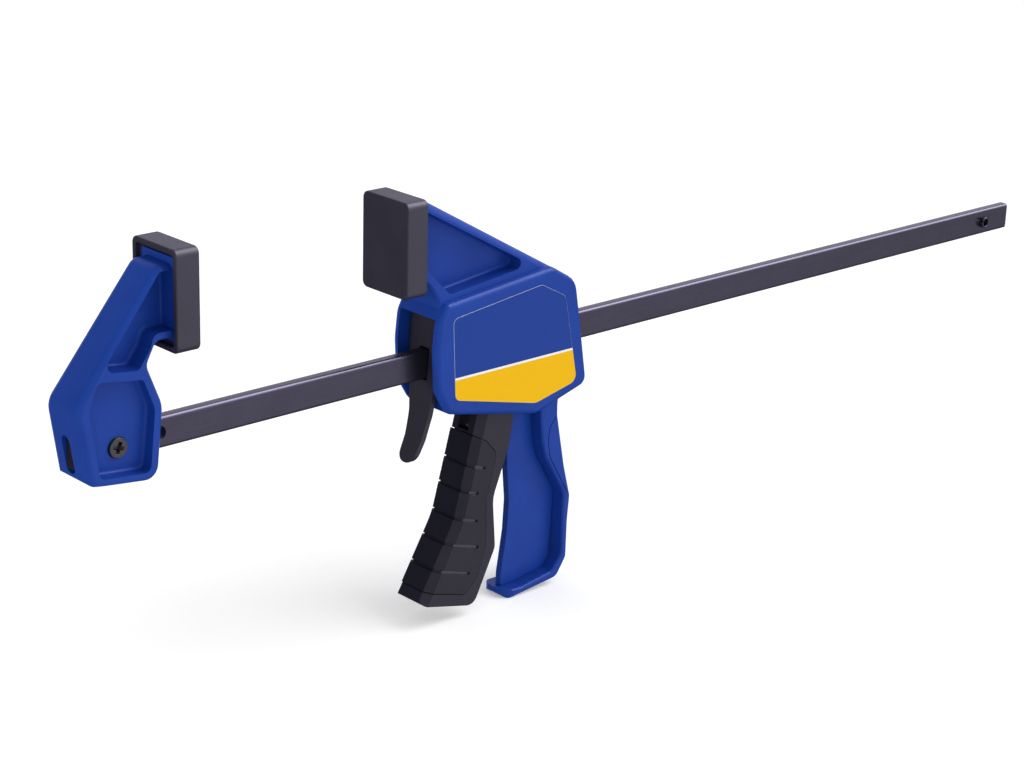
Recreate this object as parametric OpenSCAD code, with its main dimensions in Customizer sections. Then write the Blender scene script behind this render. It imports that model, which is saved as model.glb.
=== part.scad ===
// One-hand bar clamp: a steel bar with a fixed jaw, and a trigger body with the moving jaw.
// Frame: x = 0 is the clamping face of the fixed jaw, +X runs along the bar to its free end,
// y = 0 is the middle plane of the bar, z = 0 is the middle of the bar's height, +Z is up to the jaws.

/* [Bar] */
// Thickness of the flat bar, across the clamp
bar_t = 4.8; // [4:0.1:5.6]
// Height of the flat bar
bar_h = 11.6; // [9:0.1:12.5]
// Rounding of the bar's long edges
bar_edge = 1.2; // [0.4:0.1:2]
// Length of bar in front of the fixed clamping face
bar_front = 44.8; // [41:0.1:45.6]
// Length of bar behind the fixed clamping face
bar_reach = 464.5; // [320:0.5:900]
// Distance from the free end of the bar to its stop pin
stop_inset = 18; // [10:1:40]
// Diameter of the rolled stop pin
stop_d = 5; // [3:0.1:6]
// Wall of the rolled stop pin
stop_wall = 0.8; // [0.5:0.1:1.2]
// How far the stop pin stands proud of the bar on each side
stop_proud = 2; // [1:0.1:4]
// Distance from the fixed clamping face forward to the spare hole in the bar
spare_hole_x = 10.5; // [9:0.5:12]

/* [Jaws and pads] */
// Distance between the two clamping faces as shown
mouth = 90.6; // [40:0.2:300]
// Width of the clamp, across its pads and across its label panels
clamp_w = 26; // [24.5:0.5:30]
// Height of a pad
pad_h = 36.6; // [34:0.1:42]
// Depth of a pad, from its clamping face to its rim
pad_t = 9.8; // [7:0.1:13]
// Thickness of the pad's clamping wall
pad_face = 3; // [2:0.1:4.5]
// Thickness of the pad's side walls at its rim
pad_wall = 2; // [1.5:0.1:2.6]
// Thickness of the pad's side walls round the jaw's end plate
socket_wall = 3.4; // [2.8:0.1:3.8]
// How far a jaw's end plate sits inside its pad's rim
plate_recess = 1.6; // [0.8:0.1:2.4]
// Corner rounding of a pad
pad_corner = 2.5; // [1:0.5:5]
// Rounding round the edge of the clamping face
pad_edge = 0.7; // [0.4:0.1:1.8]
// Rounding round the pad's rim
rim_edge = 0.6; // [0.4:0.1:1.2]
// Height of the pads' lower edge above the bar
pad_rise = 24.9; // [23:0.1:28]
// How much narrower a jaw is than the clamp, on each side
jaw_step = 3; // [2.8:0.1:4]
// How much narrower the fixed jaw is at its pad
jaw_taper = 3; // [0:0.2:4]
// Rounding of the jaws' outer side edges
jaw_edge = 3.4; // [2:0.1:3.6]
// Chamfer of the jaws' other side edges
small_edge = 0.7; // [0.3:0.1:1]
// Rounding round the floors of the jaws' pockets
pocket_edge = 1.2; // [0.6:0.1:1.4]
// Thickness of the web between the fixed jaw's upper pockets
jaw_web = 3; // [2.4:0.1:5]
// Thickness of the fixed jaw between its lower pockets, round the bar
bar_boss = 10; // [8.5:0.5:13]
// Diameter of the fixed jaw's screw
screw_d = 4; // [3:0.1:4.6]
// Distance from the fixed clamping face to the screw
screw_x = 29.5; // [26:0.5:30]

/* [Body] */
// Thickness of the body's side walls
body_wall = 3; // [2.4:0.1:3.4]
// Rounding of the body's side edges
body_edge = 2.2; // [1:0.1:2.6]
// Thickness of the web between the moving jaw's pockets
arm_web = 7; // [5:0.5:11]
// Width of the handle's back and foot
handle_w = 15; // [12:0.5:17]
// Thickness of the web of the handle
web_t = 3; // [2:0.1:4]
// Rounding of the handle's edges
handle_edge = 1.2; // [0.5:0.1:1.4]
// Thickness of the inset pad on the handle's back
palm_skin = 1.2; // [0.8:0.1:1.4]
// Thickness of a label
label_t = 0.25; // [0.15:0.05:0.5]

/* [Trigger] */
// Gap between the trigger and each side wall of the body
trigger_side_gap = 1; // [0.6:0.1:1.4]
// Thickness of the trigger's side walls
trigger_wall = 2.6; // [2.2:0.1:3]
// Thickness of the trigger's front wall
trigger_front = 3.2; // [2.8:0.1:4]
// Rounding of the trigger's front edges
trigger_edge = 2.9; // [2.5:0.1:4]
// Diameter of the trigger's pivot pin
pivot_d = 5; // [4:0.1:5.6]
// Height of the pivot pin above the middle of the bar
pivot_z = 20; // [19:0.1:20.4]
// Thickness of the soft grip
grip_skin = 1.3; // [1:0.1:1.5]
// How far the soft grip stands proud of the trigger
grip_proud = 0.3; // [0.1:0.05:0.6]
// Width of a finger groove in the grip
groove_w = 1.3; // [0.8:0.1:2]
// Depth of a finger groove in the grip
groove_depth = 0.8; // [0.4:0.1:1.1]

/* [Clutch plates and springs] */
// Thickness of one drive plate
plate_t = 2; // [1.6:0.1:2.2]
// Width of the drive plates
plate_w = 12.6; // [11:0.2:14]
// Distance between the two drive plates
plate_gap = 0.15; // [0.1:0.05:0.3]
// Wire of the drive spring
drive_wire = 1.2; // [0.9:0.1:1.3]
// Turns of the drive spring
drive_turns = 5; // [4:1:6]
// Thickness of the release lever
lever_t = 2.2; // [1.8:0.1:2.5]
// Gap between the release lever and each side wall of the body
lever_side_gap = 0.8; // [0.5:0.1:2]
// Width of the release lever's finger
finger_w = 10.8; // [9:0.2:12]
// Wire of the brake spring
brake_wire = 0.8; // [0.6:0.1:0.9]
// Turns of the brake spring
brake_turns = 5; // [4:1:6]
// Outer diameter of the brake spring
brake_d = 6; // [5:0.1:6.4]

/* [Fits] */
// Gap on each side of the bar in the parts that slide on it
slide_fit = 0.25; // [0.2:0.05:0.4]
// Gap on each side between pieces that are fixed together
seat_fit = 0.1; // [0.05:0.05:0.15]
// Gap all round a skin that is set into its carrier
skin_gap = 0.35; // [0.1:0.05:0.4]
// Gap on each side between a pin and its bore
pin_fit = 0.05; // [0.03:0.01:0.1]
// Gap on each side of the bar in the drive plates' windows
plate_fit = 0.3; // [0.2:0.05:0.4]
// Gap between two pieces that push on each other
push_gap = 0.2; // [0.15:0.05:0.3]

/* [Hidden] */

// Degrees of arc for each flat of a rounded outline, and flats in the rounding of a side edge
arc_step = 15;
edge_steps = 3;
round_fn = 48;
slack = 1;
shell_over = 0.1;

// Width and heights that the two jaws share
jaw_w = clamp_w - 2 * jaw_step;
bar_top = bar_h / 2;
pad_z0 = bar_top + pad_rise;
pad_z1 = pad_z0 + pad_h;
plate_half = clamp_w / 2 - socket_wall - seat_fit;
tongue_z0 = pad_z0 + socket_wall + seat_fit;
tongue_z1 = pad_z1 - socket_wall - seat_fit;
nose_z0 = tongue_z0 + 1.7;
nose_z1 = tongue_z1 - 2.3;

// The moving jaw's seat plane, which every size of the body and trigger is set off from
seat_x = mouth + pad_t;
cavity = clamp_w / 2 - body_wall;
lever_w = 2 * (cavity - lever_side_gap);
trigger_half = cavity - trigger_side_gap;
stop_x = bar_reach - stop_inset;
bar_slot_y = bar_t / 2 + slide_fit;
bar_slot_z = bar_top + slide_fit;

function unit(v) = v / norm(v);
function turn(a) = a > 180 ? a - 360 : a <= -180 ? a + 360 : a;

// A corner [x, z, r] drawn as an arc, its radius limited by the sides next to it
function corner(a, b, c) =
    let (r = len(b) > 2 ? b[2] : 0, p = [b[0], b[1]],
        u = unit([a[0], a[1]] - p), v = unit([c[0], c[1]] - p),
        half = acos(max(-1, min(1, u * v))) / 2,
        reach = min(r / tan(half), 0.49 * norm([a[0], a[1]] - p), 0.49 * norm([c[0], c[1]] - p)))
    r == 0 || half > 89.5 ? [p] :
    let (fit_r = reach * tan(half), o = p + unit(u + v) * fit_r / sin(half),
        s = p + u * reach - o, e = p + v * reach - o,
        a0 = atan2(s[1], s[0]), sweep = turn(atan2(e[1], e[0]) - a0),
        n = max(2, ceil(abs(sweep) / arc_step - 0.01)))
    [for (i = [0:n]) o + fit_r * [cos(a0 + sweep * i / n), sin(a0 + sweep * i / n)]];

function rounded(q) =
    [for (i = [0:len(q) - 1]) each corner(q[(i + len(q) - 1) % len(q)], q[i], q[(i + 1) % len(q)])];

function area2(p) = let (n = len(p)) [for (i = [0:n - 1]) p[i][0] * p[(i + 1) % n][1]
    - p[(i + 1) % n][0] * p[i][1]] * [for (i = [0:n - 1]) 1];
function wound(p) = area2(p) > 0 ? p : [for (i = [len(p) - 1:-1:0]) p[i]];
function left(v) = [-v[1], v[0]] / norm(v);

// An outline drawn in by d, each side staying parallel
function inset(p, d) =
    let (n = len(p))
    [for (i = [0:n - 1])
        let (n1 = left(p[i] - p[(i + n - 1) % n]), n2 = left(p[(i + 1) % n] - p[i]))
        p[i] + d * (n1 + n2) / (1 + n1 * n2)];

// The triangles that fill an outline p, cut off it one corner at a time
function side_of(a, b, c) = (b[0] - a[0]) * (c[1] - a[1]) - (b[1] - a[1]) * (c[0] - a[0]);
function covers(a, b, c, q) =
    q != a && q != b && q != c && side_of(a, b, q) >= 0 && side_of(b, c, q) >= 0 && side_of(c, a, q) >= 0;
function is_ear(p, idx, k) =
    let (n = len(idx), a = p[idx[(k + n - 1) % n]], b = p[idx[k]], c = p[idx[(k + 1) % n]])
    side_of(a, b, c) > 0 && len([for (i = idx) if (covers(a, b, c, p[i])) i]) == 0;
function first_ear(p, idx, k = 0) = k >= len(idx) - 1 || is_ear(p, idx, k) ? k : first_ear(p, idx, k + 1);
function fill(p, idx) =
    len(idx) == 3 ? [idx] :
    let (n = len(idx), k = first_ear(p, idx))
    concat([[idx[(k + n - 1) % n], idx[k], idx[(k + 1) % n]]], fill(p, [for (i = [0:n - 1]) if (i != k) idx[i]]));

// A slab between y0 and y1 with its two rims rounded by r0 and r1, from an outline in x and z.
// Its width shrinks by the share taper for each mm above the bar
module soft_slab(outline, y0, y1, r0, r1, steps = edge_steps, taper = 0) {
    p = wound(rounded(outline));
    n = len(p);
    low = r0 == 0 ? [[0, y0]] :
        [for (s = [0:steps]) let (a = 90 * s / steps) [r0 * (1 - sin(a)), y0 + r0 * (1 - cos(a))]];
    high = r1 == 0 ? [[0, y1]] :
        [for (s = [steps:-1:0]) let (a = 90 * s / steps) [r1 * (1 - sin(a)), y1 - r1 * (1 - cos(a))]];
    rings = concat(low, high);
    m = len(rings);
    points = [for (ring = rings) each [for (q = inset(p, ring[0])) [q[0], ring[1] * (1 - taper * q[1]), q[1]]]];
    all = [for (i = [0:n - 1]) i];
    first = fill(inset(p, rings[0][0]), all);
    last = fill(inset(p, rings[m - 1][0]), all);
    sides = [for (k = [0:m - 2]) each [for (i = [0:n - 1])
        each [[k * n + i, k * n + (i + 1) % n, (k + 1) * n + i],
            [k * n + (i + 1) % n, (k + 1) * n + (i + 1) % n, (k + 1) * n + i]]]];
    caps = concat([for (t = first) [t[2], t[1], t[0]]], [for (t = last) (m - 1) * n * [1, 1, 1] + t]);
    polyhedron(points, concat(sides, caps), convexity = 6);
}

// A plain slab between y0 and y1 from an outline in x and z
module slab(outline, y0, y1) {
    translate([0, y1, 0]) rotate([90, 0, 0]) linear_extrude(y1 - y0) polygon(rounded(outline));
}

// A slab between x0 and x1 from an outline in y and z
module cross_slab(outline, x0, x1) {
    translate([x0, 0, 0]) rotate([90, 0, 90]) linear_extrude(x1 - x0) polygon(rounded(outline));
}

// A bar of width w with rounded top edges, lying under the line from p to q
module rail(p, q, w, r) {
    translate([p[0], 0, p[1]]) rotate([0, -atan2(q[1] - p[1], q[0] - p[0]), 0])
        cross_slab([[-w / 2, -pad_h * 4, 0], [w / 2, -pad_h * 4, 0], [w / 2, 0, r], [-w / 2, 0, r]], -60, 120);
}

function oblong(w, z0, z1, r) = [[-w / 2, z0, r], [w / 2, z0, r], [w / 2, z1, r], [-w / 2, z1, r]];

// A cylinder across the clamp
module across(d, y0, y1) {
    translate([0, y1, 0]) rotate([90, 0, 0]) cylinder(d = d, h = y1 - y0, $fn = round_fn);
}

module both_sides() {
    children();
    mirror([0, 1, 0]) children();
}

// Outlines of the fixed jaw, x measured from its seat against the pad
jaw_brow = [-38.8, 17.4];
jaw_top = [-3.9, nose_z1];
jaw_outline = [[4, nose_z0, 0], [-5.6, nose_z0, 3], [-9.8, pad_z0 - 2.6, 4], [-3.9, 13, 8], [-6.9, -13, 5],
    [-28, -10.6, 0], [-34.6, -9.6, 4], [jaw_brow[0] - 2, jaw_brow[1] + 1, 0],
    [jaw_top[0], jaw_top[1] + 2, 0], [4, jaw_top[1] + 2, 0]];
// The front and top of the jaw, with the back and foot out of reach so that only the front edges are rounded
jaw_shell_outline = [[30, -60, 0], [-26, -60, 0], [jaw_brow[0], jaw_brow[1], 8], [jaw_top[0], jaw_top[1], 5],
    [30, jaw_top[1], 0]];
jaw_upper_pocket = [[plate_recess, nose_z1 - 2, 0], [-3.3, nose_z1 - 2, 1.5], [-27.6, 28.8, 2.6],
    [-13, 27.2, 2], [-8, 34, 5], [-6.6, nose_z0 + 2.7, 3], [plate_recess, nose_z0 + 2.7, 0]];
jaw_lower_pocket = [[-11.4, 23.6, 2], [-7.2, 12.5, 6], [-9.8, -9.9, 2.5], [-30, -7.8, 2.2], [-33.3, 17, 7],
    [-29.3, 26.1, 2.6]];
fixed_seat_x = -pad_t;
nose_window_x = -31.5;

// Outlines of the body, x measured from its seat against the moving pad
lip_x = 9.2;
lip_z = bar_top + 14;
arm_top = [3.2, tongue_z1 + 1.4];
arm_end = [75.4, 24.5];
nose_end = plate_recess + 0.4;
mouth_floor = plate_recess + 0.6;
arm_outline = [[-nose_end, nose_z0, 0], [3, nose_z0 - 1.2, 4], [8.4, pad_z0 - 4, 10], [lip_x, lip_z, 0],
    [70, lip_z, 0], [78.4, 8, 0], [arm_end[0] + 1.2, arm_end[1] - 0.5, 7], [arm_top[0] + 0.2, arm_top[1] + 0.2, 6],
    [-nose_end, arm_top[1] - 0.2, 0]];
pocket_top = tongue_z1 - 2.3;
arm_pocket = [[-plate_recess, pocket_top, 0], [2.6, pocket_top, 1.5], [54.1, 32.9, 2.4], [13.6, 28.4, 2.5],
    [2.6, nose_z0 + 3.8, 2], [-plate_recess, nose_z0 + 3.8, 0]];
side_outline = [[9.8, 25.6, 3], [63.5, 30.9, 4], [76.2, 23.4, 9], [79.2, 6.9, 20], [83.8, -20, 4],
    [57, -27.6, 8], [12, -18.1, 5], [5.9, -8, 6], [5, 8, 20], [6.2, 19, 8]];
label_outline = [[12.9, 19.7, 2.5], [57.4, 25.1, 4], [70.2, 18.3, 4], [77.6, -17.8, 3.5], [56, -22.6, 6],
    [14.6, -12.6, 3]];
chin_x = 13.2;
chin_z = -bar_top - 8;
lever_stop_x = 11;
lever_room = [[-3, lip_z, 0], [lever_stop_x, lip_z, 0], [lever_stop_x, lip_z + 5.4, 0], [19, lip_z + 5.4, 1],
    [23, 21, 1], [23, chin_z, 0], [chin_x, chin_z, 0], [chin_x, -24, 0], [-3, -24, 0]];
rear_wall_x = 73.5;
rib_x = 27;
web_x = 52;
trigger_room = [[rib_x, -40, 0], [rib_x, 22, 2], [31, pivot_z + 5.5, 1], [60, pivot_z + 5.5, 3], [71, 16, 3],
    [rear_wall_x, 8, 1], [rear_wall_x, -9.8, 1], [65.5, -12, 1], [63.6, -34, 0], [63.6, -40, 0]];
handle_web_outline = [[web_x, -13, 2], [web_x + 0.2, -51, 20], [web_x + 1.7, -66, 14], [web_x + 1.1, -79, 14],
    [50.4, -97, 2], [50.4, -104, 0], [76, -100, 0], [78, -66, 0], [66, -45, 0], [65.2, -40, 0], [64.8, -13, 0]];
handle_back = [[80, -17, 0], [79, -21.2, 0], [73.6, -24.6, 6], [73.6, -33, 8], [75.8, -43.7, 20],
    [78.3, -56, 10], [81.9, -69, 5], [81, -80, 20]];
foot_x = 47.4;
handle_rim_outline = concat(handle_back, [[80.9, -95.4, 4], [75.8, -103, 4], [49.6, -105.8, 2.5],
    [foot_x, -103.6, 1.5], [foot_x, -102, 1.2], [57, -102.2, 3], [72.8, -99.8, 3], [77.9, -94, 4], [77.9, -67, 5],
    [67.5, -49.5, 8], [65.4, -42, 8], [64, -28, 0], [65.5, -17, 0]]);
// The handle seen from above, with its foot rounded at the front
handle_plan = [[foot_x, -handle_w / 2, handle_w * 0.43], [95, -handle_w / 2, 0], [95, handle_w / 2, 0],
    [foot_x, handle_w / 2, handle_w * 0.43]];
palm_core_outline = concat(handle_back, [[60, -80, 0], [60, -17, 0]]);
palm_outline = [[72.3, -33.2, 0], [69.2, -36.8, 2], [68.4, -42.1, 3], [69.4, -49.6, 3], [79.8, -67.4, 1],
    [90, -67.4, 0], [90, -33.2, 0]];

// Outlines of the trigger, in the same place as the body
pivot_x = 42;
push_z = 9.5;
push_r = 2;
push_x = 48.8;
trigger_back = [[41.9, -11.4, 0.6], [48, -14.8, 3], [48.4, -24, 6], [46.2, -39, 14], [38.4, -59, 12],
    [40.2, -80, 6], [29.6, -102, 4.6]];
trigger_foot_x = 3;
trigger_toe = 4.7;
trigger_foot_z = -95.5;
front_knee = [20.5, -65.5];
front_top = [31.7, -24];
trigger_outline = concat([[36.9, pivot_z, 0], [38, -2, 12], [front_top[0], front_top[1], 10],
    [front_knee[0], front_knee[1], 28], [trigger_foot_x, trigger_foot_z, 2]], [for (i = [6:-1:0]) trigger_back[i]],
    [for (a = [-20:8:12]) [push_x - push_r + push_r * cos(a), push_z + push_r * sin(a), 0]],
    [[pivot_x + 5, pivot_z, 0]]);
// The same front with its back and bottom out of reach, so that only the front edges are rounded
front_run = 0.7;
shell_foot = [trigger_foot_x, trigger_foot_z] + front_run * ([trigger_foot_x, trigger_foot_z] - front_knee);
trigger_shell_outline = [[36.9, 40, 0], [38, -2, 12], [front_top[0], front_top[1], 10],
    [front_knee[0], front_knee[1], 28], [shell_foot[0], shell_foot[1], 0], [60, shell_foot[1], 0], [60, 40, 0]];
channel_top = -31;
trigger_channel = [[front_top[0] + trigger_front - 1.7, channel_top, 0],
    [front_knee[0] + trigger_front, front_knee[1], 26], [trigger_foot_x + trigger_toe, -91, 2],
    [trigger_foot_x + trigger_toe, -115, 0], [70, -115, 0], [70, channel_top, 0]];
grip_region = [[10, -31.6, 0], [29.4, -31.6, 0], [34.6, -34.4, 2], [39.4, -40.1, 2], [39.4, -43, 3],
    [34.9, -59, 8], [35.4, -78, 8], [31.2, -90.6, 4], [25, -96.4, 3], [5, -90.6, 0], [-10, -86, 0]];
grooves = [[33.9, -45.4], [30.6, -55.1], [30.4, -66.6], [31.2, -77.7], [26.9, -87.7]];
groove_tilt = 17;

// The release lever's middle line, and its outline seen from the front
lever_line = [[12.8, 24.2, 0], [10.2, -3, 20], [8.7, -19.5, 16], [6.1, -29, 12], [1.3, -38.8, 0]];
lever_slot_y = bar_t / 2 + 0.45;
lever_slot_z = bar_top + 0.4;
lever_tip_z = -37.8;
lever_right = [[finger_w / 2 - 1.2, lever_tip_z, finger_w / 2 - 1.4], [finger_w / 2, -22, 12],
    [lever_w / 2, 9, 6], [lever_w / 2, 25, 2]];
lever_front = concat([for (i = [3:-1:0]) [-lever_right[i][0], lever_right[i][1], lever_right[i][2]]], lever_right);

plate_x = push_x + push_gap;
plate_z0 = -bar_top - 3.4;
plate_z1 = bar_top + 8.5;
drive_d = 2 * (norm([bar_t / 2, bar_top]) + 0.7 + drive_wire);
drive_x0 = plate_x + 2 * plate_t + plate_gap + push_gap;
drive_x1 = rear_wall_x - push_gap;
brake_z = -bar_top - 1 - brake_d / 2;
brake_x0 = 11.1;
brake_x1 = 23 - push_gap;

pivot_half = clamp_w / 2 - 0.8;
hub_d = 10;
leg_gap = bar_t / 2 + 0.6;

screw_head_d = 7.8;
screw_head_h = 1;
recess_l = 4.4;
recess_w = 1.6;
recess_deep = 2.2;
nut_af = 7;
nut_h = 3.2;

module bar() {
    color("dimgray") difference() {
        cross_slab(oblong(bar_t, -bar_top, bar_top, bar_edge), -bar_front, bar_reach);
        translate([-screw_x, 0, 0]) across(screw_d + 4 * pin_fit, -bar_t, bar_t);
        translate([-spare_hole_x, 0, 0]) across(stop_d + 2 * pin_fit, -bar_t, bar_t);
        translate([stop_x, 0, 0]) across(stop_d + 2 * pin_fit, -bar_t, bar_t);
    }
}

module bar_stop_pin() {
    half = bar_t / 2 + stop_proud;
    color("silver") translate([stop_x, 0, 0]) difference() {
        across(stop_d, -half, half);
        across(stop_d - 2 * stop_wall, -half - slack, half + slack);
        rotate([0, 200, 0]) translate([0, -half - slack, -0.25]) cube([stop_d, 2 * (half + slack), 0.5]);
    }
}

// The end plate of a jaw, which its pad slips over
module end_plate() {
    cross_slab(oblong(2 * plate_half, tongue_z0, tongue_z1, pad_corner / 2),
        plate_recess, pad_t - pad_face - seat_fit);
}

module pad(dir) {
    mouth_half = clamp_w / 2 - pad_wall;
    socket = plate_half + seat_fit;
    mirror([dir < 0 ? 1 : 0, 0, 0]) difference() {
        rotate([0, 0, -90]) soft_slab(oblong(clamp_w, pad_z0, pad_z1, pad_corner), 0, pad_t, pad_edge, rim_edge);
        cross_slab(oblong(2 * mouth_half, pad_z0 + pad_wall, pad_z1 - pad_wall, pad_corner - 1),
            pad_t - mouth_floor, pad_t + slack);
        cross_slab(oblong(2 * socket, tongue_z0 - seat_fit, tongue_z1 + seat_fit, pad_corner / 2), pad_face, pad_t);
    }
}

module fixed_jaw() {
    half = jaw_w / 2;
    taper = jaw_taper / jaw_w / nose_z1;
    color("royalblue") translate([fixed_seat_x, 0, 0]) difference() {
        union() {
            intersection() {
                soft_slab(jaw_outline, -half, half, small_edge, small_edge, 1, taper);
                soft_slab(jaw_shell_outline, -half - shell_over, half + shell_over, jaw_edge, jaw_edge, edge_steps,
                    taper);
            }
            end_plate();
        }
        both_sides() {
            soft_slab(jaw_upper_pocket, -jaw_w, -jaw_web / 2, 0, pocket_edge);
            soft_slab(jaw_lower_pocket, -jaw_w, -bar_boss / 2, 0, pocket_edge);
        }
        cross_slab(oblong(bar_t + 2 * seat_fit, -bar_top - seat_fit, bar_top + seat_fit, 0),
            -bar_front - fixed_seat_x - 0.5, 0);
        cross_slab(oblong(bar_t + 2 * seat_fit, -bar_top - 1.6, bar_top + 1.1, bar_t / 2), -50, nose_window_x);
        translate([-screw_x - fixed_seat_x, 0, 0]) across(screw_d + 4 * pin_fit, -jaw_w, jaw_w);
    }
}

module fixed_jaw_screw() {
    half = bar_boss / 2;
    color("gainsboro") translate([-screw_x, 0, 0]) difference() {
        union() {
            across(screw_d, -half - screw_head_h / 3, half + nut_h + 1);
            translate([0, -half - pin_fit, 0]) rotate([90, 0, 0])
                cylinder(d1 = screw_head_d, d2 = screw_head_d * 0.9, h = screw_head_h, $fn = round_fn);
        }
        for (a = [20, 110]) translate([0, recess_deep - half - screw_head_h - pin_fit, 0]) rotate([90, a, 0])
            linear_extrude(recess_deep + slack, scale = [1 + 2 * (1 + slack / recess_deep), 1.3])
                square([recess_l / 3, recess_w / 1.3], center = true);
    }
}

module fixed_jaw_nut() {
    color("gainsboro") translate([-screw_x, bar_boss / 2 + pin_fit, 0]) rotate([-90, 0, 0]) difference() {
        cylinder(d = nut_af / cos(30), h = nut_h, $fn = 6);
        translate([0, 0, -slack]) cylinder(d = screw_d + 2 * pin_fit, h = nut_h + 2 * slack, $fn = round_fn);
    }
}

module fixed_jaw_pad() {
    color("darkslategray") pad(-1);
}

module moving_jaw_pad() {
    color("darkslategray") translate([mouth, 0, 0]) pad(1);
}

module clamp_body() {
    color("royalblue") translate([seat_x, 0, 0]) {
        difference() {
            union() {
                intersection() {
                    soft_slab(arm_outline, -jaw_w / 2, jaw_w / 2, small_edge, small_edge, 1);
                    rail(arm_top, arm_end, jaw_w + 2 * shell_over, jaw_edge);
                }
                soft_slab(side_outline, -clamp_w / 2, clamp_w / 2, body_edge, body_edge);
                intersection() {
                    soft_slab(handle_rim_outline, -handle_w / 2, handle_w / 2, handle_edge, handle_edge);
                    translate([0, 0, -120]) linear_extrude(150) polygon(rounded(handle_plan));
                }
                mirror([1, 0, 0]) end_plate();
            }
            slab(lever_room, -cavity, cavity);
            slab(trigger_room, -cavity, cavity);
            cross_slab(oblong(2 * bar_slot_y, -bar_slot_z, bar_slot_z, 0), -slack, 90);
            translate([pivot_x, 0, pivot_z]) across(pivot_d + 2 * pin_fit, -pivot_half, pivot_half);
            both_sides() {
                soft_slab(arm_pocket, -jaw_w, -arm_web / 2, 0, pocket_edge);
                slab(inset(wound(rounded(label_outline)), -seat_fit), -clamp_w, -clamp_w / 2 + label_t);
            }
            difference() {
                slab(palm_outline, -handle_w, handle_w);
                skin_core(palm_core_outline, handle_w / 2, palm_skin, handle_edge);
            }
        }
    }
}

// The thin web of the handle, between its back, its foot and the trigger
module handle_web() {
    color("royalblue") translate([seat_x, 0, 0]) difference() {
        slab(handle_web_outline, -web_t / 2, web_t / 2);
        slab(inset(wound(rounded(handle_rim_outline)), -seat_fit), -handle_w, handle_w);
    }
}

// What lies under a skin of thickness t that follows the rounded side edges of a slab
module skin_core(outline, half, t, edge, steps = edge_steps) {
    soft_slab(inset(wound(rounded(outline)), t), t - half, half - t, edge - t * 0.7, edge - t * 0.7, steps);
}

module palm_pad() {
    color("royalblue") translate([seat_x, 0, 0]) difference() {
        intersection() {
            soft_slab(handle_rim_outline, -handle_w / 2, handle_w / 2, handle_edge, handle_edge);
            slab(inset(wound(rounded(palm_outline)), skin_gap), -handle_w, handle_w);
        }
        skin_core(palm_core_outline, handle_w / 2, palm_skin - seat_fit, handle_edge);
    }
}

module label() {
    translate([seat_x, 0, 0]) slab(label_outline, -clamp_w / 2, -clamp_w / 2 + label_t);
}

module label_near() {
    color("gold") label();
}

module label_far() {
    color("gold") mirror([0, 1, 0]) label();
}

module trigger() {
    color("dimgray") translate([seat_x, 0, 0]) difference() {
        union() {
            intersection() {
                soft_slab(trigger_shell_outline, -trigger_half, trigger_half, trigger_edge, trigger_edge, 1);
                slab(trigger_outline, -trigger_half, trigger_half);
            }
            translate([pivot_x, 0, pivot_z]) across(hub_d, -trigger_half, trigger_half);
        }
        slab(trigger_channel, trigger_wall - trigger_half, trigger_half - trigger_wall);
        translate([0, -leg_gap, channel_top]) cube([70, 2 * leg_gap, 80]);
        translate([pivot_x, 0, pivot_z]) across(pivot_d + 2 * pin_fit, -clamp_w, clamp_w);
        difference() {
            slab(grip_region, -clamp_w, clamp_w);
            skin_core(trigger_shell_outline, trigger_half, grip_skin, trigger_edge, 1);
        }
    }
}

function strip(p, a, length, w) =
    let (d = [cos(a), sin(a)], n = [-sin(a), cos(a)] * w / 2)
    [[each (p + n), w * 0.45], [each (p + n + d * length), 0], [each (p - n + d * length), 0],
        [each (p - n), w * 0.45]];

module trigger_grip() {
    skin = inset(wound(rounded(trigger_shell_outline)), -grip_proud);
    half = trigger_half + grip_proud;
    color("dimgray") translate([seat_x, 0, 0]) difference() {
        intersection() {
            soft_slab(skin, -half, half, trigger_edge, trigger_edge, 1);
            slab(inset(wound(rounded(grip_region)), skin_gap), -clamp_w, clamp_w);
        }
        skin_core(trigger_shell_outline, trigger_half, grip_skin - seat_fit, trigger_edge, 1);
        difference() {
            for (q = grooves) slab(strip(q, 180 - groove_tilt, 40, groove_w), -clamp_w, clamp_w);
            skin_core(skin, half, groove_depth, trigger_edge, 1);
        }
    }
}

module trigger_pivot_pin() {
    color("silver") translate([seat_x + pivot_x, 0, pivot_z])
        across(pivot_d, seat_fit - pivot_half, pivot_half - seat_fit);
}

module drive_plate(x) {
    color("silver") translate([seat_x, 0, 0]) difference() {
        cross_slab(oblong(plate_w, plate_z0, plate_z1, 2), x, x + plate_t);
        cross_slab(oblong(bar_t + 2 * plate_fit, -bar_top - plate_fit, bar_top + plate_fit, 0.6),
            x - slack, x + plate_t + slack);
    }
}

module drive_plate_front() {
    drive_plate(plate_x);
}

module drive_plate_rear() {
    drive_plate(plate_x + plate_t + plate_gap);
}

// Middle points of a spring along x, eight to a turn, and the least gap between its turns
function coil(x0, x1, r, wire, turns) =
    [for (i = [0:8 * turns])
        [x0 + wire / 2 + (x1 - x0 - wire) * i / (8 * turns), r * cos(45 * i), r * sin(45 * i)]];
function least_gap(q, wire) =
    min([for (i = [0:len(q) - 5]) each [for (j = [i + 4:len(q) - 1]) norm(q[i] - q[j])]]) - wire;

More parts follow.
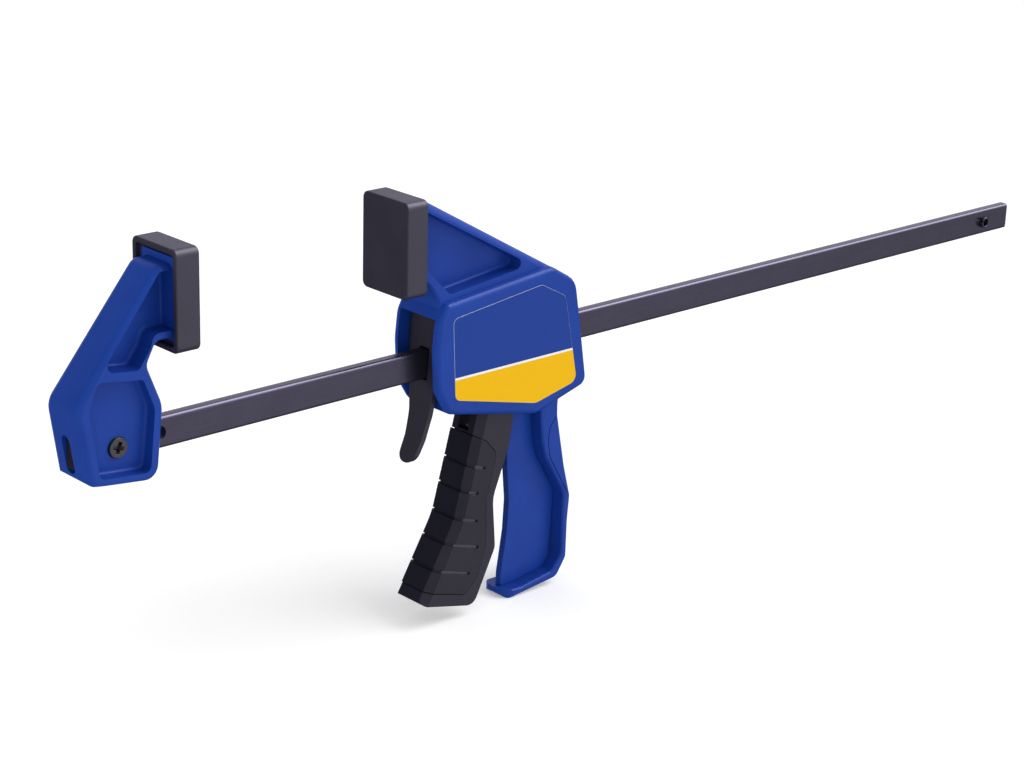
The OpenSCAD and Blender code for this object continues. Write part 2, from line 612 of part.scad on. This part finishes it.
module wire_spring(q, wire) {
    sides = 6;
    rings = len(q);
    points = [for (i = [0:rings - 1]) each [for (k = [0:sides - 1])
        q[i] + wire / 2 * (cos(60 * k) * [0, cos(45 * i), sin(45 * i)] + sin(60 * k) * [1, 0, 0])]];
    skin = [for (i = [0:rings - 2]) each [for (k = [0:sides - 1])
        let (a = i * sides + k, b = i * sides + (k + 1) % sides)
        each [[a, b, a + sides], [b, b + sides, a + sides]]]];
    caps = concat([for (k = [1:sides - 2]) [0, k + 1, k]],
        [for (k = [1:sides - 2]) (rings - 1) * sides * [1, 1, 1] + [0, k, k + 1]]);
    polyhedron(points, concat(skin, caps), convexity = 8);
}

module drive_spring() {
    q = coil(drive_x0, drive_x1, (drive_d - drive_wire) / 2, drive_wire, drive_turns);
    echo(drive_spring_least_gap = least_gap(q, drive_wire));
    color("silver") translate([seat_x, 0, 0]) wire_spring(q, drive_wire);
}

module brake_spring() {
    q = coil(brake_x0, brake_x1, (brake_d - brake_wire) / 2, brake_wire, brake_turns);
    echo(brake_spring_least_gap = least_gap(q, brake_wire));
    color("silver") translate([seat_x, 0, brake_z]) wire_spring(q, brake_wire);
}

// The outline of a strip of thickness t that follows an open line of [x, z, r] points
function band(q, t) =
    let (n = len(q), p = [for (v = q) [v[0], v[1]]],
        m = [for (i = [0:n - 1])
            let (n1 = left(p[max(i, 1)] - p[max(i, 1) - 1]), n2 = left(p[min(i, n - 2) + 1] - p[min(i, n - 2)]))
            (n1 + n2) / (1 + n1 * n2)])
    concat([for (i = [0:n - 1]) [each (p[i] + m[i] * t / 2), q[i][2]]],
        [for (i = [n - 1:-1:0]) [each (p[i] - m[i] * t / 2), q[i][2]]]);

module release_lever() {
    color("dimgray") translate([seat_x, 0, 0]) difference() {
        intersection() {
            slab(band(lever_line, lever_t), -lever_w, lever_w);
            cross_slab(lever_front, -10, 30);
        }
        cross_slab(oblong(2 * lever_slot_y, -lever_slot_z, lever_slot_z, 0.6), -slack, 30);
    }
}

bar();
bar_stop_pin();
fixed_jaw();
fixed_jaw_screw();
fixed_jaw_nut();
fixed_jaw_pad();
clamp_body();
handle_web();
moving_jaw_pad();
palm_pad();
label_near();
label_far();
trigger();
trigger_grip();
trigger_pivot_pin();
drive_plate_front();
drive_plate_rear();
drive_spring();
release_lever();
brake_spring();
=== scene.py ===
"""A one-handed bar clamp: blue moulded jaws, rubber pads, a black steel bar and a squeeze trigger."""
import math

import bmesh
import bpy
from mathutils import Matrix, Vector


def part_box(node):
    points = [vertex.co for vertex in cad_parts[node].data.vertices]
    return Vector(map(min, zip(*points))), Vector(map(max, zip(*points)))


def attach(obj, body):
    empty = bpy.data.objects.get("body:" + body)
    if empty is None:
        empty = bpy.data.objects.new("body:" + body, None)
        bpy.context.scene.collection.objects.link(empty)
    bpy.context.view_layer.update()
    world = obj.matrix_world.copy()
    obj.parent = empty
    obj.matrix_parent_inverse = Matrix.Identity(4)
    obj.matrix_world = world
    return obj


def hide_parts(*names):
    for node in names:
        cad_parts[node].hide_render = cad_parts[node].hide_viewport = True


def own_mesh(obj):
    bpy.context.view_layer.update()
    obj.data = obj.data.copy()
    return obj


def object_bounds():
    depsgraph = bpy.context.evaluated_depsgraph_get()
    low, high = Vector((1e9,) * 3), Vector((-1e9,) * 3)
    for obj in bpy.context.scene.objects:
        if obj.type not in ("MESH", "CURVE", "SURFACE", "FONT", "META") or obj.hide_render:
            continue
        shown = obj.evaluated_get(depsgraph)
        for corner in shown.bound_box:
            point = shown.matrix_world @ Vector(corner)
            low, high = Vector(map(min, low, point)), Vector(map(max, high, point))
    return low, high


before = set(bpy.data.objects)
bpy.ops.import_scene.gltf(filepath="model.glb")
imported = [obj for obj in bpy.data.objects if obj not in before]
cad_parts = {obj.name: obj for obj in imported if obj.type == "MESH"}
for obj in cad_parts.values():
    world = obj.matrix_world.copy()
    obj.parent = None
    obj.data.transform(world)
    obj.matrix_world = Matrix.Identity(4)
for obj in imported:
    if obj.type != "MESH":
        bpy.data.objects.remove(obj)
cad_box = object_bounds()

MM = 0.001

# The camera, solved from the photograph: its place, its three axes and its lens

CAMERA_AT = Vector((-455.29, -662.51, 294.29)) * MM
CAMERA_RIGHT = Vector((0.74114636, -0.67082136, 0.02647231))
CAMERA_UP = Vector((0.20147913, 0.25986909, 0.94439092))
CAMERA_FORWARD = Vector((0.64039694, 0.69459827, -0.32775753))
CAMERA_LENS = 86.0
SENSOR = 36.0
NEAREST, FARTHEST = 0.01, 50

# What the meshes are cleaned by: what counts as one point, as flat and as a sharp edge

SAME_POINT = 0.002 * MM
FLAT = math.radians(0.4)
SHARP = math.radians(34)
EASE_SEGMENTS = 2

# The trigger's sides: how deep its recess and its grooves are in the solids, and how close to
# a groove's floor a face lies that is part of it

RECESS_DEPTH = 1.4 * MM
GROOVE_DEPTH = 0.8 * MM
ON_FLOOR = 0.1 * MM

# The label's print: the height and the width of the white line, in mm

LINE_Z = -4.2
LINE_WIDTH = 0.9

# The patterns: the span that noise values fill, and the widths of broad and fine patterns, in mm

NOISE = {"From Min": 0.3, "From Max": 0.7}
CLOUD = 22.22
PATCH = 18.18
FILM_GRAIN = 1.111
FILM_GRAIN_DEPTH = 0.004

# The springs' wire: how finely it is drawn

STEPS_PER_TURN = 32
WIRE_ROUNDNESS = 4

# The studio: the backdrop's size in m, and how strongly each part of it shines

BACKDROP = 12
BACKDROP_X = 0.2
FLOOR_LIFT = 0.3
SKY_LIGHT = 0.45
STUDIO_GLOW = 0.06


def place_camera():
    data = bpy.data.cameras.new("camera")
    data.lens = CAMERA_LENS
    data.sensor_width = SENSOR
    data.sensor_fit = "HORIZONTAL"
    data.clip_start = NEAREST
    data.clip_end = FARTHEST
    camera = bpy.data.objects.new("camera", data)
    bpy.context.scene.collection.objects.link(camera)
    turn = Matrix((CAMERA_RIGHT, CAMERA_UP, -CAMERA_FORWARD)).transposed().to_4x4()
    camera.matrix_world = Matrix.Translation(CAMERA_AT) @ turn
    bpy.context.scene.camera = camera


def place_sun(name, direction, strength, angle, shine=True):
    """A wide lamp that stands in that direction; angle is how wide it looks, in degrees. Without
    shine it lights, but leaves no reflection."""
    data = bpy.data.lights.new(name, "SUN")
    data.energy = strength
    data.angle = math.radians(angle)
    lamp = bpy.data.objects.new(name, data)
    bpy.context.scene.collection.objects.link(lamp)
    lamp.matrix_world = Vector(direction).to_track_quat("Z", "Y").to_matrix().to_4x4()
    lamp.visible_glossy = shine


# Materials

def linear(text):
    """A colour written as an sRGB hex value, in linear light."""
    parts = [int(text[i:i + 2], 16) / 255 for i in (1, 3, 5)]
    return tuple(c / 12.92 if c <= 0.04045 else ((c + 0.055) / 1.055) ** 2.4 for c in parts) + (1,)


def add(tree, kind, inputs=None, **settings):
    """One shader node with its settings, its values and its links."""
    made = tree.nodes.new(kind)
    for name, value in settings.items():
        setattr(made, name, value)
    for name, value in (inputs or {}).items():
        if isinstance(value, bpy.types.NodeSocket):
            tree.links.new(value, made.inputs[name])
        else:
            made.inputs[name].default_value = value
    return made


def new_tree(name):
    material = bpy.data.materials.new(name)
    material.use_nodes = True
    tree = material.node_tree
    tree.nodes.clear()
    return material, tree


def close_tree(tree, shader):
    add(tree, "ShaderNodeOutputMaterial", {"Surface": shader.outputs[0]})


def moulded(name, colour, shade, rough, grain, depth, gloss):
    """Injection-moulded plastic or rubber: an even colour that drifts a little to a second shade, and
    a fine spark-eroded grain. grain is the grain's width and depth its height, in mm."""
    material, tree = new_tree(name)
    place = add(tree, "ShaderNodeTexCoord").outputs["Object"]
    drift = add(tree, "ShaderNodeTexNoise",
                {"Vector": place, "Scale": 1 / (CLOUD * MM), "Detail": 3}).outputs["Fac"]
    fine = add(tree, "ShaderNodeTexNoise",
               {"Vector": place, "Scale": 1 / (grain * MM), "Detail": 2}).outputs["Fac"]
    amount = add(tree, "ShaderNodeMapRange",
                 {"Value": drift, **NOISE, "To Min": 0, "To Max": 1}).outputs["Result"]
    tint = add(tree, "ShaderNodeMix", {0: amount, 6: linear(colour), 7: linear(shade)},
               data_type="RGBA").outputs[2]
    broad_change, fine_change = 0.03, 0.04
    broad = add(tree, "ShaderNodeMapRange",
                {"Value": drift, **NOISE, "To Min": rough - broad_change,
                 "To Max": rough + broad_change}).outputs["Result"]
    speckle = add(tree, "ShaderNodeMapRange",
                  {"Value": fine, **NOISE, "To Min": -fine_change,
                   "To Max": fine_change}).outputs["Result"]
    sheen = add(tree, "ShaderNodeMath", {0: broad, 1: speckle}, operation="ADD").outputs[0]
    bump = add(tree, "ShaderNodeBump",
               {"Height": fine, "Distance": depth * MM, "Strength": 1}).outputs[0]
    close_tree(tree, add(tree, "ShaderNodeBsdfPrincipled",
                         {"Base Color": tint, "Roughness": sheen, "Normal": bump,
                          "Specular IOR Level": gloss}))
    return material


def drawn_steel(name, colour, light, rough, metallic, stretch, line, depth):
    """Steel with faint lines along one way, from drawing or brushing, and soft patches of a lighter
    shade. line is the lines' spacing and depth their height, in mm."""
    material, tree = new_tree(name)
    place = add(tree, "ShaderNodeTexCoord").outputs["Object"]
    run = add(tree, "ShaderNodeMapping", {"Vector": place, "Scale": stretch}).outputs[0]
    streak = add(tree, "ShaderNodeTexNoise",
                 {"Vector": run, "Scale": 1 / (line * MM), "Detail": 4}).outputs["Fac"]
    patch = add(tree, "ShaderNodeTexNoise",
                {"Vector": place, "Scale": 1 / (PATCH * MM), "Detail": 5,
                 "Roughness": 0.65}).outputs["Fac"]
    share = 0.5
    lines = add(tree, "ShaderNodeMapRange",
                {"Value": streak, **NOISE, "To Min": 0, "To Max": share}).outputs["Result"]
    patches = add(tree, "ShaderNodeMapRange",
                  {"Value": patch, **NOISE, "To Min": 0, "To Max": share}).outputs["Result"]
    worn = add(tree, "ShaderNodeMath", {0: lines, 1: patches}, operation="ADD").outputs[0]
    tint = add(tree, "ShaderNodeMix", {0: worn, 6: linear(colour), 7: linear(light)},
               data_type="RGBA").outputs[2]
    broad_change, fine_change = 0.05, 0.03
    broad = add(tree, "ShaderNodeMapRange",
                {"Value": patch, **NOISE, "To Min": rough - broad_change,
                 "To Max": rough + broad_change}).outputs["Result"]
    brushed = add(tree, "ShaderNodeMapRange",
                  {"Value": streak, **NOISE, "To Min": -fine_change,
                   "To Max": fine_change}).outputs["Result"]
    sheen = add(tree, "ShaderNodeMath", {0: broad, 1: brushed}, operation="ADD").outputs[0]
    bump = add(tree, "ShaderNodeBump",
               {"Height": streak, "Distance": depth * MM, "Strength": 1}).outputs[0]
    close_tree(tree, add(tree, "ShaderNodeBsdfPrincipled",
                         {"Base Color": tint, "Metallic": metallic, "Roughness": sheen,
                          "Normal": bump}))
    return material


def printed_film():
    """Printed vinyl: a blue field over a yellow band, with a thin white line between them."""
    material, tree = new_tree("printed_vinyl_film")
    place = add(tree, "ShaderNodeTexCoord").outputs["Object"]
    height = add(tree, "ShaderNodeSeparateXYZ", {"Vector": place}).outputs["Z"]
    above_band = add(tree, "ShaderNodeMath", {0: height, 1: (LINE_Z - LINE_WIDTH / 2) * MM},
                     operation="GREATER_THAN").outputs[0]
    above_line = add(tree, "ShaderNodeMath", {0: height, 1: (LINE_Z + LINE_WIDTH / 2) * MM},
                     operation="GREATER_THAN").outputs[0]
    lower = add(tree, "ShaderNodeMix", {0: above_band, 6: linear("#F3BC00"), 7: linear("#F2F3F2")},
                data_type="RGBA").outputs[2]
    tint = add(tree, "ShaderNodeMix", {0: above_line, 6: lower, 7: linear("#1D3F94")},
               data_type="RGBA").outputs[2]
    fine = add(tree, "ShaderNodeTexNoise",
               {"Vector": place, "Scale": 1 / (FILM_GRAIN * MM), "Detail": 3}).outputs["Fac"]
    sheen = add(tree, "ShaderNodeMapRange",
                {"Value": fine, **NOISE, "To Min": 0.34, "To Max": 0.42}).outputs["Result"]
    bump = add(tree, "ShaderNodeBump",
               {"Height": fine, "Distance": FILM_GRAIN_DEPTH * MM, "Strength": 1}).outputs[0]
    close_tree(tree, add(tree, "ShaderNodeBsdfPrincipled",
                         {"Base Color": tint, "Roughness": sheen, "Normal": bump,
                          "Specular IOR Level": 0.15}))
    return material


# Shapes

def new_object(name, mesh, material):
    mesh.materials.clear()
    mesh.materials.append(material)
    piece = bpy.data.objects.new(name, mesh)
    bpy.context.scene.collection.objects.link(piece)
    return piece


def smooth_by_angle(mesh):
    """Smooth faces, with a sharp edge wherever two of them meet at a corner."""
    shape = bmesh.new()
    shape.from_mesh(mesh)
    for face in shape.faces:
        face.smooth = True
    for edge in shape.edges:
        edge.smooth = len(edge.link_faces) == 2 and edge.calc_face_angle(0) < SHARP
    shape.to_mesh(mesh)
    shape.free()


def dressed(node, name, body, material, edge, rim=None):
    """A copy of a CAD node with its loose triangles merged and its hard edges eased by edge mm. The
    eased edges may have a material of their own, rim."""
    shape = bmesh.new()
    shape.from_mesh(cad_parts[node].data)
    bmesh.ops.remove_doubles(shape, verts=shape.verts, dist=SAME_POINT)
    bmesh.ops.dissolve_limit(shape, angle_limit=FLAT, verts=shape.verts, edges=shape.edges)
    mesh = bpy.data.meshes.new(name)
    shape.to_mesh(mesh)
    shape.free()
    smooth_by_angle(mesh)
    piece = new_object(name, mesh, material)
    ease = piece.modifiers.new("ease", "BEVEL")
    ease.width = edge * MM
    ease.segments = EASE_SEGMENTS
    ease.limit_method = "ANGLE"
    ease.angle_limit = SHARP
    if rim:
        mesh.materials.append(rim)
        ease.material = 1
    weigh = piece.modifiers.new("weigh", "WEIGHTED_NORMAL")
    weigh.keep_sharp = True
    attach(piece, body)
    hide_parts(node)
    return piece


def paint(piece, material, chosen):
    """Gives a material of their own to the faces for which chosen is true."""
    piece.data.materials.append(material)
    for face in piece.data.polygons:
        if chosen(face):
            face.material_index = len(piece.data.materials) - 1


def coil(name, node, body, material, turns, wire):
    """A round wire, wire mm thick, wound along X in the space that its CAD node holds."""
    low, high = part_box(node)
    centre = (low + high) / 2
    radius = (high.y - low.y - wire * MM) / 2
    start, end = low.x + wire * MM / 2, high.x - wire * MM / 2
    curve = bpy.data.curves.new(name, "CURVE")
    curve.dimensions = "3D"
    curve.bevel_depth = wire * MM / 2
    curve.bevel_resolution = WIRE_ROUNDNESS
    curve.use_fill_caps = True
    line = curve.splines.new("POLY")
    steps = turns * STEPS_PER_TURN
    line.points.add(steps)
    for i in range(steps + 1):
        angle = 2 * math.pi * i / STEPS_PER_TURN
        line.points[i].co = (start + (end - start) * i / steps, centre.y + radius * math.cos(angle),
                             centre.z + radius * math.sin(angle), 1)
    shown = bpy.data.objects.new(name, curve)
    bpy.context.scene.collection.objects.link(shown)
    bpy.context.view_layer.update()
    mesh = bpy.data.meshes.new_from_object(
        shown.evaluated_get(bpy.context.evaluated_depsgraph_get()))
    bpy.data.objects.remove(shown)
    for face in mesh.polygons:
        face.use_smooth = True
    mesh.name = name
    piece = new_object(name, mesh, material)
    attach(piece, body)
    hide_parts(node)
    return piece


place_camera()

# Deep royal blue, low in gloss, with a grain that softens every highlight: jaws, body and handle
blue_nylon = moulded("blue_glass_filled_nylon", "#1A429F", "#173C95",
                     rough=0.38, grain=0.45, depth=0.012, gloss=0.18)
# The same blue, a little duller: the skin in the handle's back
palm_rubber = moulded("blue_soft_moulding", "#1A429F", "#173C95",
                      rough=0.44, grain=0.4, depth=0.012, gloss=0.18)
# Dark grey with a cool cast and a dull sheen: the two pads
pad_rubber = moulded("grey_rubber", "#323140", "#2D2C39",
                     rough=0.48, grain=0.5, depth=0.016, gloss=0.5)
# Near black with a cool cast, slightly shiny: the trigger
black_nylon = moulded("black_nylon", "#1A1A29", "#171724",
                      rough=0.4, grain=0.45, depth=0.012, gloss=0.5)
# A touch darker and duller than the trigger: the skin that the fingers pull
grip_rubber = moulded("black_soft_rubber", "#171725", "#131320",
                      rough=0.46, grain=0.35, depth=0.014, gloss=0.45)
# Painted highlight: the floors of the grip's grooves get a pale colour for the light they catch, and
# a smoother finish, so they show as pale strips
groove_rubber = moulded("groove_floor_painted_highlight", "#41404B", "#393843",
                        rough=0.36, grain=0.35, depth=0.004, gloss=0.6)
# Painted shade: the walls of grooves and recesses, where shade falls, get a near-black colour so that
# they show as dark lines
painted_shade_rubber = moulded("groove_and_recess_painted_shade", "#0D0C10", "#0A0A0D",
                      rough=0.5, grain=0.35, depth=0.01, gloss=0.1)
# Dark grey metal with fine lines along the bar and cloudy patches: the bar and its stop pin
black_steel = drawn_steel("black_oxide_bar_steel", "#474551", "#52505D",
                          rough=0.3, metallic=0.85, stretch=(0.03, 1, 1), line=0.5, depth=0.004)
# Darker and duller than the bar, more a coating than bare metal: the release lever
lever_steel = drawn_steel("black_coated_sheet_steel", "#32313B", "#3A3945",
                          rough=0.38, metallic=0.3, stretch=(1, 1, 1), line=0.6, depth=0.006)
# Warm dark grey metal, mottled: the screw and its nut
screw_steel = drawn_steel("black_phosphated_steel", "#4B494B", "#5A5859",
                          rough=0.34, metallic=0.9, stretch=(1, 1, 1), line=0.4, depth=0.006)
# Mid grey bright metal, drawn along Y: the pivot pin and the springs
pin_steel = drawn_steel("plain_spring_steel", "#77767A", "#8A898C",
                        rough=0.34, metallic=1.0, stretch=(1, 0.05, 1), line=0.3, depth=0.004)
# Mid grey bright metal, ground along Z: the drive plates
plate_steel = drawn_steel("hardened_plate_steel", "#808084", "#929296",
                          rough=0.36, metallic=1.0, stretch=(1, 1, 0.05), line=0.3, depth=0.004)
# Smooth print in a blue a little darker than the body's, over a yellow band with a white line
label_film = printed_film()
# The film's cut edge shows as a thin pale line round the label
film_edge = moulded("pale_film_edge", "#B9C1D6", "#AAB3CB",
                    rough=0.4, grain=0.4, depth=0.004, gloss=0.4)

ROOT, BODY = "bar_and_fixed_jaw", "body"

dressed("bar", "steel_bar", ROOT, black_steel, edge=0.3)
dressed("bar_stop_pin", "stop_pin", ROOT, black_steel, edge=0.15)
dressed("fixed_jaw", "fixed_jaw_moulding", ROOT, blue_nylon, edge=0.3)
dressed("fixed_jaw_screw", "jaw_screw", ROOT, screw_steel, edge=0.12)
dressed("fixed_jaw_nut", "jaw_nut", ROOT, screw_steel, edge=0.15)
dressed("fixed_jaw_pad", "fixed_pad_rubber", ROOT, pad_rubber, edge=0.25)
dressed("clamp_body", "body_moulding", BODY, blue_nylon, edge=0.3)
dressed("handle_web", "handle_web_moulding", BODY, blue_nylon, edge=0.2)
dressed("moving_jaw_pad", "moving_pad_rubber", BODY, pad_rubber, edge=0.25)
dressed("palm_pad", "palm_inset", BODY, palm_rubber, edge=0.2)
dressed("label_near", "near_label_film", BODY, label_film, edge=0.18, rim=film_edge)
dressed("label_far", "far_label_film", BODY, label_film, edge=0.18, rim=film_edge)
dressed("trigger_pivot_pin", "pivot_pin", BODY, pin_steel, edge=0.15)
trigger = dressed("trigger", "trigger_moulding", "trigger", black_nylon,
                  edge=0.25)
grip = dressed("trigger_grip", "trigger_grip_rubber", "trigger", grip_rubber,
               edge=0.15)
dressed("drive_plate_front", "front_drive_plate", "drive_plates", plate_steel,
        edge=0.2)
dressed("drive_plate_rear", "rear_drive_plate", "drive_plates", plate_steel,
        edge=0.2)
dressed("release_lever", "lever_strip", "release_lever", lever_steel, edge=0.3)

recess_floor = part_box("trigger")[1].y - RECESS_DEPTH
groove_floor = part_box("trigger_grip")[1].y - GROOVE_DEPTH


def front_recess_wall(face):
    """A wall of the recess in the trigger's side that faces forward."""
    across, forward = 0.3, -0.3
    return (abs(face.normal.y) < across and face.normal.x < forward
            and abs(face.center.y) > recess_floor)


def side_groove_floor(face):
    """The floor of a groove in the grip's side, facing outward."""
    sideways = 0.9
    return (face.normal.y * face.center.y > 0 and abs(face.normal.y) > sideways
            and abs(abs(face.center.y) - groove_floor) < ON_FLOOR)


def upward_step(face):
    """The lower wall of a groove, facing up."""
    upward = 0.85
    return face.normal.z > upward


# Painted shade: near black on the forward walls of the trigger's recess
paint(trigger, painted_shade_rubber, front_recess_wall)
# Painted highlight: pale grey on the floors of the grip's grooves
paint(grip, groove_rubber, side_groove_floor)
# Painted shade: near black on the grip's upward-facing groove walls
paint(grip, painted_shade_rubber, upward_step)

drive_spring = coil("drive_spring_wire", "drive_spring", BODY, pin_steel,
                    turns=5, wire=1.2)
brake_spring = coil("brake_spring_wire", "brake_spring", BODY, pin_steel,
                    turns=5, wire=0.8)
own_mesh(drive_spring)
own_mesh(brake_spring)


# Floor, world and lamps

def white_backdrop():
    """A matt white sweep: it takes the clamp's shadow, and the camera sees it lifted to white."""
    material, tree = new_tree("white_sweep")
    path = add(tree, "ShaderNodeLightPath")
    seen = add(tree, "ShaderNodeMath", {0: path.outputs["Is Camera Ray"],
                                        1: path.outputs["Is Glossy Ray"]}, operation="ADD")
    seen = add(tree, "ShaderNodeMath", {0: seen.outputs[0], 1: path.outputs["Is Transmission Ray"]},
               operation="ADD", use_clamp=True)
    matt = add(tree, "ShaderNodeBsdfDiffuse", {"Color": linear("#F4F4F4")})
    lift = add(tree, "ShaderNodeEmission", {"Color": (1, 1, 1, 1), "Strength": FLOOR_LIFT})
    lifted = add(tree, "ShaderNodeAddShader", {0: matt.outputs[0], 1: lift.outputs[0]})
    close_tree(tree, add(tree, "ShaderNodeMixShader",
                         {"Fac": seen.outputs[0], 1: matt.outputs[0], 2: lifted.outputs[0]}))
    return material


floor_z = cad_box[0][2]
sweep = bmesh.new()
bmesh.ops.create_grid(sweep, x_segments=1, y_segments=1, size=BACKDROP,
                      matrix=Matrix.Translation((BACKDROP_X, 0, floor_z)))
floor_mesh = bpy.data.meshes.new("floor")
sweep.to_mesh(floor_mesh)
sweep.free()
floor = new_object("floor", floor_mesh, white_backdrop())
floor.visible_glossy = False

world = bpy.data.worlds.new("studio")
world.use_nodes = True
bpy.context.scene.world = world
sky = world.node_tree
sky.nodes.clear()
way = add(sky, "ShaderNodeTexCoord").outputs["Generated"]


def softbox(toward, start, full, strength):
    """Light from one side of the studio, as glossy surfaces see it. It sets in where the cosine of
    the angle to that side is start and is at its full strength at full."""
    facing = add(sky, "ShaderNodeVectorMath", {0: way, 1: Vector(toward).normalized()},
                 operation="DOT_PRODUCT").outputs["Value"]
    return add(sky, "ShaderNodeMapRange",
               {"Value": facing, "From Min": start, "From Max": full, "To Min": 0,
                "To Max": strength}, interpolation_type="SMOOTHSTEP").outputs["Result"]


# Glossy surfaces see a dim studio with four soft boxes: in front, behind, above and to the left
boxes = STUDIO_GLOW
for box in (softbox((0.42, -0.85, -0.15), start=0.7, full=1.0, strength=0.95),
            softbox((0.6, 0.75, 0.15), start=0.5, full=0.92, strength=0.9),
            softbox((0.64, -0.33, 0.69), start=0.8, full=0.99, strength=6.0),
            softbox((-0.6, -0.55, 0.25), start=0.45, full=0.95, strength=0.55)):
    boxes = add(sky, "ShaderNodeMath", {0: boxes, 1: box}, operation="ADD").outputs[0]

# The camera sees plain white, and matt surfaces are lit by an even sky
rays = add(sky, "ShaderNodeLightPath")
seen_sky = add(sky, "ShaderNodeMath", {0: rays.outputs["Is Camera Ray"],
                                       1: rays.outputs["Is Transmission Ray"]},
               operation="ADD", use_clamp=True)
soft = add(sky, "ShaderNodeBackground", {"Color": (1, 1, 1, 1), "Strength": SKY_LIGHT})
studio = add(sky, "ShaderNodeBackground", {"Color": linear("#F5EFFF"), "Strength": boxes})
bright = add(sky, "ShaderNodeBackground", {"Color": (1, 1, 1, 1), "Strength": 1.0})
shine = add(sky, "ShaderNodeMixShader",
            {"Fac": rays.outputs["Is Glossy Ray"], 1: soft.outputs[0], 2: studio.outputs[0]})
both = add(sky, "ShaderNodeMixShader",
           {"Fac": seen_sky.outputs[0], 1: shine.outputs[0], 2: bright.outputs[0]})
add(sky, "ShaderNodeOutputWorld", {"Surface": both.outputs[0]})

place_sun("front_lamp", (0.3, -0.87, 0.3), strength=0.6, angle=50)
place_sun("corner_lamp", (-0.6, -0.8, 0.05), strength=0.5, angle=35, shine=False)
place_sun("left_lamp", (-0.9, 0.4, 0.1), strength=1.0, angle=25, shine=False)
place_sun("top_lamp", (0.55, -0.3, 0.75), strength=1.3, angle=40)
place_sun("back_lamp", (0.2, 0.95, 0.05), strength=0.6, angle=60, shine=False)

bpy.context.scene.view_settings.view_transform = "Standard"
